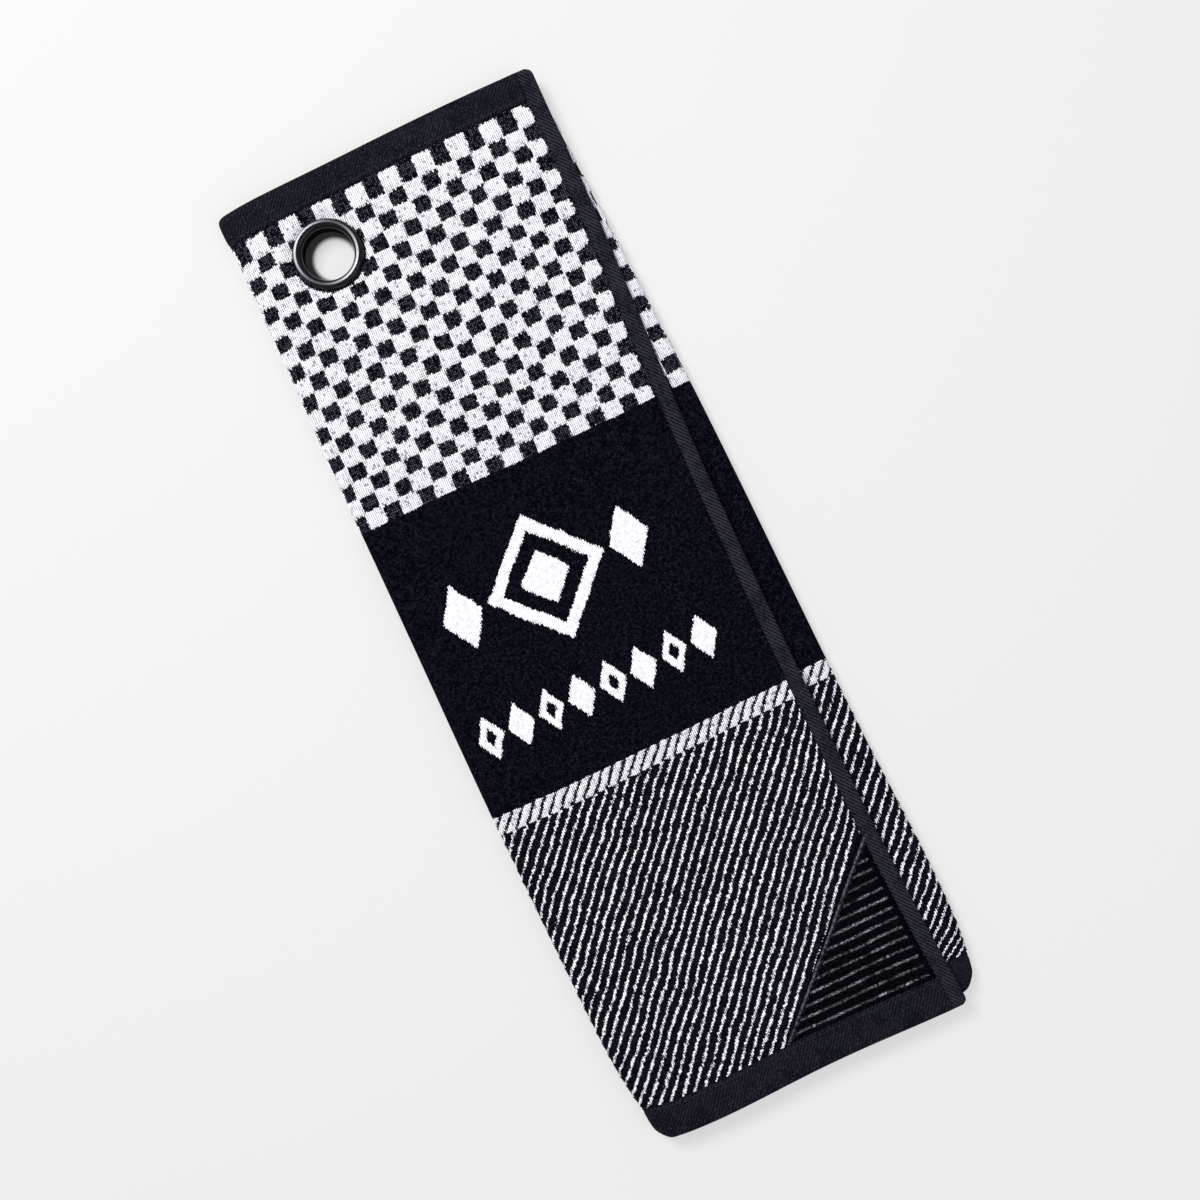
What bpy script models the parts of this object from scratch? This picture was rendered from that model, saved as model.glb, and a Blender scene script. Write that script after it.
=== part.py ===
"""Golf towel, folded lengthways in thirds and held by one metal grommet.

The towel lies flat with its face up. X runs across the folded towel, Y runs along
its length towards the grommet end, and Z is up. The origin is the middle of the
underside. The back panel lies at the bottom, the inner panel is folded over it
from the right, and the front panel is folded over both from the left.
"""

import math
from bisect import bisect_right

import bmesh
import bpy
import numpy as np
from mathutils import Vector

MM = 0.001

# Cloth and layers
TOWEL_LENGTH = 406.4 * MM
CLOTH_THICKNESS = 2.6 * MM
GAP = 0.3 * MM
TOP_HEM = 12.2 * MM
BOTTOM_HEM = 14.2 * MM
SIDE_HEM = 6.3 * MM
INNER_EDGE_INSET = 9.0 * MM
STATION_STEP = 17.0 * MM
FOLD_STEPS = 10
SHARP_ANGLE = math.radians(38)

# Edge lines of the folded towel, as (y, x) in millimetres
LEFT_FOLD_LINE = (
    (-203.2, -66.0),
    (-190.0, -70.2),
    (-150.0, -73.2),
    (-50.0, -74.0),
    (60.0, -72.8),
    (203.2, -70.6),
)
RIGHT_FOLD_LINE = (
    (-203.2, 69.8),
    (-190.0, 72.8),
    (-150.0, 74.0),
    (-60.0, 71.8),
    (20.0, 71.4),
    (90.0, 69.6),
    (203.2, 65.6),
)
FRONT_EDGE_LINE = (
    (-203.2, 64.0),
    (-160.0, 61.6),
    (-60.0, 59.8),
    (60.0, 61.4),
    (130.0, 64.6),
    (203.2, 66.0),
)

# Turning line of the front panel
HINGE_X = -19.0 * MM
HINGE_Z = 9.6 * MM

# Grommet
GROMMET_X = -37.1 * MM
GROMMET_Y = 169.8 * MM
FLANGE_RADIUS = 14.0 * MM
BORE_RADIUS = 10.25 * MM
BARREL_WALL = 0.7 * MM
FLANGE_TOP = 9.7 * MM
FLANGE_HEIGHT = 1.9 * MM
FLANGE_SEAT_DEPTH = 0.9 * MM
CREST_INNER_RADIUS = 12.1 * MM
CREST_OUTER_RADIUS = 12.7 * MM
LIP_RADIUS = 12.4 * MM
LIP_THICKNESS = 0.6 * MM
LIP_BOTTOM = 0.05 * MM
WASHER_THICKNESS = 0.65 * MM
WASHER_EDGE = 0.2 * MM
RING_STEPS = 40

# Scrub patch
PATCH_LEG = 64.0 * MM
PATCH_BASE = 0.6 * MM
PATCH_RECESS = 1.0 * MM
PATCH_EDGE_WIDTH = 1.3 * MM
PATCH_EDGE_HEIGHT = 1.2 * MM
RIB_PITCH = 4.24 * MM
RIB_FOOT = 1.6 * MM
RIB_CREST = 1.0 * MM
RIB_HEIGHT = 0.4 * MM
FIRST_RIB = 0.6

# Sewing
THREAD_WIDTH = 0.5 * MM
THREAD_HEIGHT = 0.25 * MM
THREAD_INSET = 1.6 * MM
SIDE_THREAD_INSET = 1.0 * MM
TACK_WIDTH = 4.6 * MM
TACK_MARGIN = 0.9 * MM

# Levels worked out from the layers
TOP_END = TOWEL_LENGTH / 2
BOTTOM_END = -TOWEL_LENGTH / 2
TOP_SEAM = TOP_END - TOP_HEM
BOTTOM_SEAM = BOTTOM_END + BOTTOM_HEM
BACK_Z = 0.0
INNER_Z = CLOTH_THICKNESS + GAP
FRONT_Z = 2 * (CLOTH_THICKNESS + GAP)
FRONT_TOP = FRONT_Z + CLOTH_THICKNESS
LEFT_FOLD_RADIUS = FRONT_TOP / 2
RIGHT_FOLD_RADIUS = (INNER_Z + CLOTH_THICKNESS) / 2
CLOTH_LOW = BOTTOM_SEAM + GAP
CLOTH_HIGH = TOP_SEAM - GAP
FIELD = (CLOTH_LOW, CLOTH_HIGH)
TOP_BAND = (TOP_SEAM, TOP_END)
BOTTOM_BAND = (BOTTOM_END, BOTTOM_SEAM)
WHOLE_LENGTH = (BOTTOM_END, TOP_END)
CUT_MARGIN = 1.0 * MM
MERGE_DISTANCE = 0.001 * MM


def clear_scene():
    """Remove whatever the scene holds at the start."""
    for obj in list(bpy.data.objects):
        bpy.data.objects.remove(obj, do_unlink=True)


def make_material(name, colour, roughness, metallic=0.0):
    """Return a Principled material of one plain finish."""
    material = bpy.data.materials.new(name)
    material.use_nodes = True
    shader = material.node_tree.nodes["Principled BSDF"]
    shader.inputs["Base Color"].default_value = (*colour, 1.0)
    shader.inputs["Roughness"].default_value = roughness
    shader.inputs["Metallic"].default_value = metallic
    return material


def smooth_line(points):
    """Return x as a smooth function of y through a few (y, x) points in millimetres."""
    ys = [y * MM for y, _ in points]
    xs = [x * MM for _, x in points]
    slopes = np.gradient(xs, ys)

    def x_at(y):
        i = min(max(bisect_right(ys, y) - 1, 0), len(ys) - 2)
        span = ys[i + 1] - ys[i]
        t = (y - ys[i]) / span
        start = (2 * t**3 - 3 * t**2 + 1) * xs[i] + (t**3 - 2 * t**2 + t) * span * slopes[i]
        end = (3 * t**2 - 2 * t**3) * xs[i + 1] + (t**3 - t**2) * span * slopes[i + 1]
        return float(start + end)

    return x_at


def stations(y_low, y_high):
    """Return evenly spaced y values from y_low to y_high."""
    count = max(1, round((y_high - y_low) / STATION_STEP))
    return [y_low + (y_high - y_low) * i / count for i in range(count + 1)]


def finish_object(name, bm, location, material, parent=None):
    """Turn a bmesh into a named object at its place, under its parent if it has one."""
    bmesh.ops.recalc_face_normals(bm, faces=bm.faces[:])
    mesh = bpy.data.meshes.new(name)
    bm.to_mesh(mesh)
    bm.free()
    obj = bpy.data.objects.new(name, mesh)
    bpy.context.collection.objects.link(obj)
    obj.location = Vector(location)
    if parent:
        obj.parent = parent
        obj.location = Vector(location) - parent.location
    if material:
        mesh.materials.append(material)
    return obj


def plate(name, outline, z_low, z_high, material, parent=None):
    """Extrude a flat outline of (x, y) points from z_low up to z_high."""
    bm = bmesh.new()
    base = bm.faces.new([bm.verts.new((x, y, 0.0)) for x, y in outline])
    raised = bmesh.ops.extrude_face_region(bm, geom=[base])
    top_verts = [v for v in raised["geom"] if isinstance(v, bmesh.types.BMVert)]
    bmesh.ops.translate(bm, verts=top_verts, vec=(0.0, 0.0, z_high - z_low))
    return finish_object(name, bm, (0.0, 0.0, z_low), material, parent)


def strip_outline(left, right, y_low, y_high):
    """Return the outline between two edge lines, from y_low to y_high."""
    ys = stations(y_low, y_high)
    return [(right(y), y) for y in ys] + [(left(y), y) for y in reversed(ys)]


def cloth_strip(name, left, right, y_low, y_high, z_low, material, parent=None):
    """Make one layer of cloth between two edge lines."""
    outline = strip_outline(left, right, y_low, y_high)
    return plate(name, outline, z_low, z_low + CLOTH_THICKNESS, material, parent)


def fold(name, edge, side, radius, y_low, y_high, material):
    """Make the half-round turn of the cloth along an edge line.

    side is -1 for a fold on the left and 1 for a fold on the right.
    """
    inner_radius = radius - CLOTH_THICKNESS
    angles = [math.pi * (i / FOLD_STEPS - 0.5) for i in range(FOLD_STEPS + 1)]
    section = [(radius * math.cos(a), radius * math.sin(a)) for a in angles]
    section += [(inner_radius * math.cos(a), inner_radius * math.sin(a)) for a in reversed(angles)]
    bm = bmesh.new()
    rows = []
    for y in stations(y_low, y_high):
        centre_x = edge(y) - side * radius
        rows.append([bm.verts.new((centre_x + side * x, y, z)) for x, z in section])
    size = len(section)
    for near, far in zip(rows, rows[1:]):
        for i in range(size):
            j = (i + 1) % size
            bm.faces.new((near[i], near[j], far[j], far[i]))
    bm.faces.new(rows[0])
    bm.faces.new(rows[-1])
    obj = finish_object(name, bm, (0.0, 0.0, radius), material)
    obj.data.shade_smooth()
    obj.data.set_sharp_from_angle(angle=SHARP_ANGLE)
    return obj


def arc(centre, radii, start_deg, end_deg, steps):
    """Return points on an elliptical arc in the (radius, z) plane."""
    points = []
    for i in range(steps + 1):
        angle = math.radians(start_deg + (end_deg - start_deg) * i / steps)
        points.append((centre[0] + radii[0] * math.cos(angle), centre[1] + radii[1] * math.sin(angle)))
    return points


def turned_ring(name, profile, material):
    """Spin a closed (radius, z) profile round the grommet's axis."""
    bm = bmesh.new()
    verts = [bm.verts.new((r, 0.0, z)) for r, z in profile]
    edges = [bm.edges.new((verts[i - 1], verts[i])) for i in range(len(verts))]
    bmesh.ops.spin(
        bm,
        geom=verts + edges,
        cent=(0.0, 0.0, 0.0),
        axis=(0.0, 0.0, 1.0),
        angle=math.tau,
        steps=RING_STEPS,
        use_merge=True,
    )
    bmesh.ops.remove_doubles(bm, verts=bm.verts[:], dist=MERGE_DISTANCE)
    obj = finish_object(name, bm, (GROMMET_X, GROMMET_Y, 0.0), material)
    obj.data.shade_smooth()
    obj.data.set_sharp_from_angle(angle=SHARP_ANGLE)
    return obj


def hide_cutter(obj):
    """Mark an object as a guide that is not part of the towel."""
    obj.hide_render = True
    obj.display_type = "WIRE"
    return obj


def round_cutter(name, radius, z_low, z_high):
    """Make a cylindrical cutter on the grommet's axis."""
    outline = []
    for i in range(RING_STEPS):
        angle = math.tau * i / RING_STEPS
        outline.append((GROMMET_X + radius * math.cos(angle), GROMMET_Y + radius * math.sin(angle)))
    return hide_cutter(plate(name, outline, z_low, z_high, None))


def apply_boolean(obj, cutter, operation="DIFFERENCE"):
    """Add a live Boolean of a cutter to an object."""
    modifier = obj.modifiers.new(cutter.name, "BOOLEAN")
    modifier.operation = operation
    modifier.solver = "EXACT"
    modifier.object = cutter


def thread_row(name, x_low, x_high, y, material, parent=None):
    """Make a sewn row of thread across a hem at height y."""
    low = y - THREAD_WIDTH / 2
    high = y + THREAD_WIDTH / 2
    outline = [(x_low, low), (x_high, low), (x_high, high), (x_low, high)]
    z_low = FRONT_TOP + GAP
    return plate(name, outline, z_low, z_low + THREAD_HEIGHT, material, parent)


clear_scene()

black_pile = make_material("black_pile", (0.006, 0.006, 0.011), 0.95)
checked_pile = make_material("checked_pile", (0.30, 0.30, 0.33), 0.95)
black_twill = make_material("black_twill", (0.012, 0.012, 0.020), 0.85)
black_thread = make_material("black_thread", (0.010, 0.010, 0.016), 0.70)
ribbed_cloth = make_material("ribbed_cloth", (0.010, 0.010, 0.017), 0.55)
black_nickel = make_material("black_nickel", (0.090, 0.090, 0.100), 0.22, 1.0)

left_fold_x = smooth_line(LEFT_FOLD_LINE)
right_fold_x = smooth_line(RIGHT_FOLD_LINE)
front_edge_x = smooth_line(FRONT_EDGE_LINE)


def layer_left(y):
    """Left end of the flat cloth beside the left fold."""
    return left_fold_x(y) + LEFT_FOLD_RADIUS + GAP


def layer_right(y):
    """Right end of the flat cloth beside the right fold."""
    return right_fold_x(y) - RIGHT_FOLD_RADIUS - GAP


def inner_edge(y):
    """Free edge of the inner panel, inside the left fold."""
    return left_fold_x(y) + INNER_EDGE_INSET


def inner_hem_right(y):
    """Inboard side of the inner panel's side hem."""
    return inner_edge(y) + SIDE_HEM


def inner_cloth_left(y):
    """Left end of the inner panel's pile cloth."""
    return inner_hem_right(y) + GAP


def pinned_right(_y):
    """Right end of the strip that the grommet pins."""
    return HINGE_X - GAP / 2


def flap_left(_y):
    """Left end of the part of the front panel that turns."""
    return HINGE_X + GAP / 2


def front_hem_left(y):
    """Inboard side of the front panel's side hem."""
    return front_edge_x(y) - SIDE_HEM


def front_cloth_right(y):
    """Right end of the front panel's pile cloth."""
    return front_hem_left(y) - GAP


# The empty stands on the line about which the front panel turns.
flap_hinge = bpy.data.objects.new("front_flap_hinge", None)
flap_hinge.location = (HINGE_X, 0.0, HINGE_Z)
bpy.context.collection.objects.link(flap_hinge)

# Back panel, face down
back_panel = cloth_strip("back_panel_cloth", layer_left, layer_right, *FIELD, BACK_Z, checked_pile)
cloth_strip("back_top_hem", layer_left, layer_right, *TOP_BAND, BACK_Z, black_twill)
cloth_strip("back_bottom_hem", layer_left, layer_right, *BOTTOM_BAND, BACK_Z, black_twill)

# The two folds, each with its own stretch of both hems
for fold_name, edge_line, fold_side, fold_radius in (
    ("left_fold", left_fold_x, -1, LEFT_FOLD_RADIUS),
    ("right_fold", right_fold_x, 1, RIGHT_FOLD_RADIUS),
):
    fold(fold_name + "_cloth", edge_line, fold_side, fold_radius, *FIELD, checked_pile)
    fold(fold_name + "_top_hem", edge_line, fold_side, fold_radius, *TOP_BAND, black_twill)
    fold(fold_name + "_bottom_hem", edge_line, fold_side, fold_radius, *BOTTOM_BAND, black_twill)

# Inner panel, face up, with its free edge inside the left fold
inner_panel = cloth_strip("inner_panel_cloth", inner_cloth_left, layer_right, *FIELD, INNER_Z, checked_pile)
cloth_strip("inner_side_hem", inner_edge, inner_hem_right, *WHOLE_LENGTH, INNER_Z, black_twill)
cloth_strip("inner_top_hem", inner_cloth_left, layer_right, *TOP_BAND, INNER_Z, black_twill)
cloth_strip("inner_bottom_hem", inner_cloth_left, layer_right, *BOTTOM_BAND, INNER_Z, black_twill)

# Strip of the front panel that the grommet pins
pinned_strip = cloth_strip("pinned_strip_cloth", layer_left, pinned_right, *FIELD, FRONT_Z, checked_pile)
cloth_strip("pinned_strip_top_hem", layer_left, pinned_right, *TOP_BAND, FRONT_Z, black_twill)
cloth_strip("pinned_strip_bottom_hem", layer_left, pinned_right, *BOTTOM_BAND, FRONT_Z, black_twill)

# Part of the front panel that turns over
front_panel = cloth_strip(
    "front_panel_cloth", flap_left, front_cloth_right, *FIELD, FRONT_Z, checked_pile, flap_hinge
)
cloth_strip("front_top_hem", flap_left, front_cloth_right, *TOP_BAND, FRONT_Z, black_twill, flap_hinge)
cloth_strip("front_bottom_hem", flap_left, front_cloth_right, *BOTTOM_BAND, FRONT_Z, black_twill, flap_hinge)
cloth_strip("front_side_hem", front_hem_left, front_edge_x, *WHOLE_LENGTH, FRONT_Z, black_twill, flap_hinge)

# Holes and seats for the grommet in the three layers
barrel_radius = BORE_RADIUS + BARREL_WALL
hole_radius = (barrel_radius + GAP) / math.cos(math.pi / RING_STEPS)
hole = round_cutter("grommet_hole_guide", hole_radius, -CUT_MARGIN, FRONT_TOP + CUT_MARGIN)
flange_seat = round_cutter(
    "flange_seat_guide", FLANGE_RADIUS + GAP, FRONT_TOP - FLANGE_SEAT_DEPTH, FRONT_TOP + CUT_MARGIN
)
washer_bottom = LIP_BOTTOM + LIP_THICKNESS + GAP
washer_top = washer_bottom + WASHER_THICKNESS
washer_seat = round_cutter("washer_seat_guide", FLANGE_RADIUS + GAP, -CUT_MARGIN, washer_top + GAP)
for layer in (back_panel, inner_panel, pinned_strip):
    apply_boolean(layer, hole)
apply_boolean(pinned_strip, flange_seat)
apply_boolean(back_panel, washer_seat)

# Grommet eyelet: domed flange, barrel, and lip rolled over the washer
flange_bottom = FLANGE_TOP - FLANGE_HEIGHT
dome_start = flange_bottom + GAP
throat = flange_bottom - GAP
dome_height = FLANGE_TOP - dome_start
lip_top = LIP_BOTTOM + LIP_THICKNESS
lip_half = LIP_THICKNESS / 2
eyelet_profile = arc(
    (CREST_OUTER_RADIUS, dome_start), (FLANGE_RADIUS - CREST_OUTER_RADIUS, dome_height), 0, 90, 6
)
eyelet_profile += arc(
    (CREST_INNER_RADIUS, throat), (CREST_INNER_RADIUS - BORE_RADIUS, FLANGE_TOP - throat), 90, 180, 6
)
eyelet_profile += arc((BORE_RADIUS + LIP_THICKNESS, lip_top), (LIP_THICKNESS, LIP_THICKNESS), 180, 270, 3)
eyelet_profile += arc((LIP_RADIUS - lip_half, LIP_BOTTOM + lip_half), (lip_half, lip_half), -90, 90, 4)
eyelet_profile += [
    (barrel_radius + GAP, lip_top),
    (barrel_radius, lip_top + GAP),
    (barrel_radius, throat),
    (barrel_radius + GAP, flange_bottom),
    (FLANGE_RADIUS - GAP, flange_bottom),
]
turned_ring("grommet_eyelet", eyelet_profile, black_nickel)

# Grommet washer, seated against the back panel under the rolled lip
washer_profile = [
    (barrel_radius + GAP, washer_bottom),
    (FLANGE_RADIUS - WASHER_EDGE, washer_bottom),
    (FLANGE_RADIUS, washer_bottom + WASHER_EDGE),
    (FLANGE_RADIUS, washer_top - WASHER_EDGE),
    (FLANGE_RADIUS - WASHER_EDGE, washer_top),
    (barrel_radius + GAP, washer_top),
]
turned_ring("grommet_washer", washer_profile, black_nickel)

# Scrub patch: a ribbed right-angled triangle let into the corner of the front panel
patch_bottom = CLOTH_LOW
patch_apex = patch_bottom + PATCH_LEG
patch_z = FRONT_TOP - PATCH_RECESS + GAP
corner_x = front_cloth_right(patch_bottom)
apex_x = front_cloth_right(patch_apex)
heel_x = apex_x - PATCH_LEG
edge_step = math.sqrt(2) * (PATCH_EDGE_WIDTH + GAP)
recess_low = patch_bottom - CUT_MARGIN
recess_right = corner_x + CUT_MARGIN
recess_left = heel_x - math.sqrt(2) * GAP - CUT_MARGIN
recess_outline = [
    (recess_left, recess_low),
    (recess_right, recess_low),
    (recess_right, recess_low + recess_right - recess_left),
]
patch_recess = hide_cutter(
    plate("patch_recess_guide", recess_outline, FRONT_TOP - PATCH_RECESS, FRONT_TOP + CUT_MARGIN, None)
)
apply_boolean(front_panel, patch_recess)
patch_outline = [
    (heel_x + edge_step, patch_bottom),
    (corner_x, patch_bottom),
    (apex_x, patch_apex - edge_step),
]
patch_shape = hide_cutter(
    plate("patch_outline_guide", patch_outline, patch_z - CUT_MARGIN, FRONT_TOP + CUT_MARGIN, None)
)
rib_count = int(PATCH_LEG / RIB_PITCH)
rib_section = [(recess_low, 0.0), (patch_apex, 0.0), (patch_apex, PATCH_BASE)]
for rib in reversed(range(rib_count)):
    rib_y = patch_bottom + (rib + FIRST_RIB) * RIB_PITCH
    rib_section += [
        (rib_y + RIB_FOOT / 2, PATCH_BASE),
        (rib_y + RIB_CREST / 2, PATCH_BASE + RIB_HEIGHT),
        (rib_y - RIB_CREST / 2, PATCH_BASE + RIB_HEIGHT),
        (rib_y - RIB_FOOT / 2, PATCH_BASE),
    ]
rib_section.append((recess_low, PATCH_BASE))
patch_mesh = bmesh.new()
rib_face = patch_mesh.faces.new([patch_mesh.verts.new((heel_x, y, z)) for y, z in rib_section])
rib_sweep = bmesh.ops.extrude_face_region(patch_mesh, geom=[rib_face])
rib_far = [v for v in rib_sweep["geom"] if isinstance(v, bmesh.types.BMVert)]
bmesh.ops.translate(patch_mesh, verts=rib_far, vec=(recess_right - heel_x, 0.0, 0.0))
scrub_patch = finish_object("scrub_patch", patch_mesh, (0.0, 0.0, patch_z), ribbed_cloth, flap_hinge)
apply_boolean(scrub_patch, patch_shape, "INTERSECT")

# Turned edge along the long side of the patch, with its thread
inner_step = math.sqrt(2) * PATCH_EDGE_WIDTH
edge_outline = [
    (heel_x, patch_bottom),
    (heel_x + inner_step, patch_bottom),
    (apex_x, patch_apex - inner_step),
    (apex_x, patch_apex),
]
edge_top = patch_z + PATCH_EDGE_HEIGHT
plate("scrub_patch_edge", edge_outline, patch_z, edge_top, black_twill, flap_hinge)
thread_low = math.sqrt(2) * (PATCH_EDGE_WIDTH - THREAD_WIDTH) / 2
thread_high = thread_low + math.sqrt(2) * THREAD_WIDTH
patch_thread_outline = [
    (heel_x + thread_low, patch_bottom),
    (heel_x + thread_high, patch_bottom),
    (apex_x, patch_apex - thread_high),
    (apex_x, patch_apex - thread_low),
]
patch_thread_z = edge_top + GAP
patch_thread_top = patch_thread_z + THREAD_HEIGHT
plate("scrub_patch_thread", patch_thread_outline, patch_thread_z, patch_thread_top, black_thread, flap_hinge)

# Sewn rows of the hems
top_row = TOP_SEAM + THREAD_INSET
bottom_row = BOTTOM_SEAM - THREAD_INSET
for end_name, row_y in (("top", top_row), ("bottom", bottom_row)):
    strip_ends = (layer_left(row_y), pinned_right(row_y))
    flap_ends = (flap_left(row_y), front_cloth_right(row_y))
    thread_row("pinned_strip_" + end_name + "_thread", *strip_ends, row_y, black_thread)
    thread_row("front_" + end_name + "_thread", *flap_ends, row_y, black_thread, flap_hinge)


def side_thread_left(y):
    """Left side of the side hem's sewn row."""
    return front_hem_left(y) + SIDE_THREAD_INSET


def side_thread_right(y):
    """Right side of the side hem's sewn row."""
    return side_thread_left(y) + THREAD_WIDTH


side_thread_outline = strip_outline(side_thread_left, side_thread_right, *FIELD)
thread_z = FRONT_TOP + GAP
plate("front_side_thread", side_thread_outline, thread_z, thread_z + THREAD_HEIGHT, black_thread, flap_hinge)

# Bar tacks where the side hem crosses the top and bottom hems
for tack_name, tack_low, tack_high in (
    ("top_corner_tack", TOP_SEAM, TOP_END),
    ("bottom_corner_tack", BOTTOM_END, BOTTOM_SEAM),
):
    tack_x = front_hem_left((tack_low + tack_high) / 2) + TACK_MARGIN
    tack_outline = [
        (tack_x, tack_low + TACK_MARGIN),
        (tack_x + TACK_WIDTH, tack_low + TACK_MARGIN),
        (tack_x + TACK_WIDTH, tack_high - TACK_MARGIN),
        (tack_x, tack_high - TACK_MARGIN),
    ]
    plate(tack_name, tack_outline, thread_z, thread_z + THREAD_HEIGHT, black_thread, flap_hinge)
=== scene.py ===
import math
import bpy
import numpy as np
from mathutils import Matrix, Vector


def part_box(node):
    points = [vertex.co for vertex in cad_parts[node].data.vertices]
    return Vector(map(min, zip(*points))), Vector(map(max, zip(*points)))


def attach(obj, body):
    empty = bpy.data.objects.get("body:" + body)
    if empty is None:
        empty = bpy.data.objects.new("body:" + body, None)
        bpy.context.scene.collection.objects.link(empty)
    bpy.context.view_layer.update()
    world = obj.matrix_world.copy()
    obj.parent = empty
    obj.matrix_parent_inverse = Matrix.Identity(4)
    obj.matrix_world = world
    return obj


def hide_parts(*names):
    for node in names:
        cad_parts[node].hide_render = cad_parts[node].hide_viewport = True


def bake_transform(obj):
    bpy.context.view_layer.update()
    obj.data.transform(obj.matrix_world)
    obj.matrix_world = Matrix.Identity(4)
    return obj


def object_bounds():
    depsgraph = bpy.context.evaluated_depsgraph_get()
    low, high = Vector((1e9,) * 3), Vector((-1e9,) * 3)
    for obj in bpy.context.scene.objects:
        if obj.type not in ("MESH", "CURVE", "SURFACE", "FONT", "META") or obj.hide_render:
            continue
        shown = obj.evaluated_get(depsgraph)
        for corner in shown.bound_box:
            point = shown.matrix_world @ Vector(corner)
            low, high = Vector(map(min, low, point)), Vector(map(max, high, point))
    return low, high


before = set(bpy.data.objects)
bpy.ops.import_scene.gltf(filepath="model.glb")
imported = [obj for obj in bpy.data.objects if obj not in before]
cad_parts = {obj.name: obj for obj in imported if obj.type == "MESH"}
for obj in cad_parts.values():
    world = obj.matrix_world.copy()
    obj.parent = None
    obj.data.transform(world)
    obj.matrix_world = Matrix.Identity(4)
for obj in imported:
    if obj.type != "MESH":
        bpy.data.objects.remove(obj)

cad_box = [list(corner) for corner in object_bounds()]
MM = 0.001

# ----------------------------------------
# Stage: a pale table top, a large soft lamp high on the far left of the towel,
# a weak one opposite, and a camera that looks straight down on the turned towel.
# The shade on the table inside the grommet's hole is part of the table's paint.
TURN = math.radians(-25.4)
VIEW_WIDTH = 0.4705
LENS = 45.0
SENSOR = 36.0
TOWEL_TOP = 0.0084
EYE_SHIFT = (0.001, 0.0014)
TABLE_SIDE = 6.0
TABLE_DROP = 0.0002
SELF_LIT_SHARE = 0.62
SHADE_SHIFT = 1.0
SHADE_START, SHADE_FULL, SHADE_FADE, SHADE_END = 7.3, 9.6, 12.6, 14.0
SHADE_DEPTH = 0.97
KEY_POWER = 18.0
FILL_POWER = 3.5
AIR_STRENGTH = 0.53


def add_node(tree, kind, inputs=(), **settings):
    """Add a shader node, set it, and fill its inputs with values or other nodes' sockets."""
    made = tree.nodes.new(kind)
    for name, value in settings.items():
        setattr(made, name, value)
    for key, value in dict(inputs).items():
        if isinstance(value, bpy.types.NodeSocket):
            tree.links.new(value, made.inputs[key])
        else:
            made.inputs[key].default_value = value
    return made


def maths(operation, a, b=0.0):
    """Add one Math node to the tree of the socket a or b and return its result."""
    owner = (a if isinstance(a, bpy.types.NodeSocket) else b).id_data
    return add_node(owner, "ShaderNodeMath", {0: a, 1: b}, operation=operation).outputs[0]


def times(a, b):
    """Multiply two values."""
    return maths("MULTIPLY", a, b)


def vectors(operation, a, b=(0.0, 0.0, 0.0)):
    """Add one Vector Math node and return its vector, or its value where it gives one."""
    made = add_node(a.id_data, "ShaderNodeVectorMath", {0: a, 1: b}, operation=operation)
    return made.outputs["Value" if operation in ("DISTANCE", "LENGTH", "DOT_PRODUCT") else "Vector"]


def ramp(value, low, high, start=0.0, end=1.0, kind="SMOOTHSTEP"):
    """Map a value from low..high to start..end."""
    inputs = {"Value": value, "From Min": low, "From Max": high, "To Min": start, "To Max": end}
    return add_node(value.id_data, "ShaderNodeMapRange", inputs, interpolation_type=kind).outputs["Result"]


eyelet_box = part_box("grommet_eyelet")
hole_spot = tuple((eyelet_box[0][i] + eyelet_box[1][i]) / 2 for i in (0, 1))

table_material = bpy.data.materials.new("pale_table_paint")
table_material.use_nodes = True
tree = table_material.node_tree
tree.nodes.remove(tree.nodes["Principled BSDF"])
paint = add_node(tree, "ShaderNodeBsdfDiffuse", {"Color": (0.74, 0.74, 0.74, 1.0)})
glow = add_node(tree, "ShaderNodeEmission", {"Color": (0.845, 0.845, 0.845, 1.0), "Strength": 1.0})
lit_inputs = {0: SELF_LIT_SHARE, 1: paint.outputs[0], 2: glow.outputs[0]}
lit = add_node(tree, "ShaderNodeMixShader", lit_inputs)
table_place = add_node(tree, "ShaderNodeTexCoord").outputs["Object"]
shade_spot = (hole_spot[0] + SHADE_SHIFT * MM, hole_spot[1] - SHADE_SHIFT * MM, 0.0)
hole_reach = vectors("DISTANCE", table_place, shade_spot)
shade_in = ramp(hole_reach, SHADE_START * MM, SHADE_FULL * MM)
shade_out = ramp(hole_reach, SHADE_FADE * MM, SHADE_END * MM, SHADE_DEPTH, 0.0, "LINEAR")
hole_shade = times(shade_in, shade_out)
shade = add_node(tree, "ShaderNodeBsdfDiffuse", {"Color": (0.015, 0.015, 0.018, 1.0)})
finish_inputs = {0: hole_shade, 1: lit.outputs[0], 2: shade.outputs[0]}
table_finish = add_node(tree, "ShaderNodeMixShader", finish_inputs)
tree.links.new(table_finish.outputs[0], tree.nodes["Material Output"].inputs["Surface"])

bpy.ops.object.select_all(action="DESELECT")
bpy.ops.mesh.primitive_plane_add(size=TABLE_SIDE, location=(0.0, 0.0, -TABLE_DROP))
table = bpy.context.object
table.name = "table_top"
table.data.materials.append(table_material)


def soft_lamp(name, place, size, power):
    """Add a square lamp that faces the middle of the towel."""
    bpy.ops.object.light_add(type="AREA", location=place)
    lamp = bpy.context.object
    lamp.name = name
    lamp.data.size = size
    lamp.data.energy = power
    lamp.rotation_euler = lamp.location.to_track_quat("Z", "Y").to_euler()


soft_lamp("key_lamp", (-0.36, 0.9, 1.02), 0.5, KEY_POWER)
soft_lamp("fill_lamp", (0.6, -0.7, 0.9), 1.0, FILL_POWER)

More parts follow.
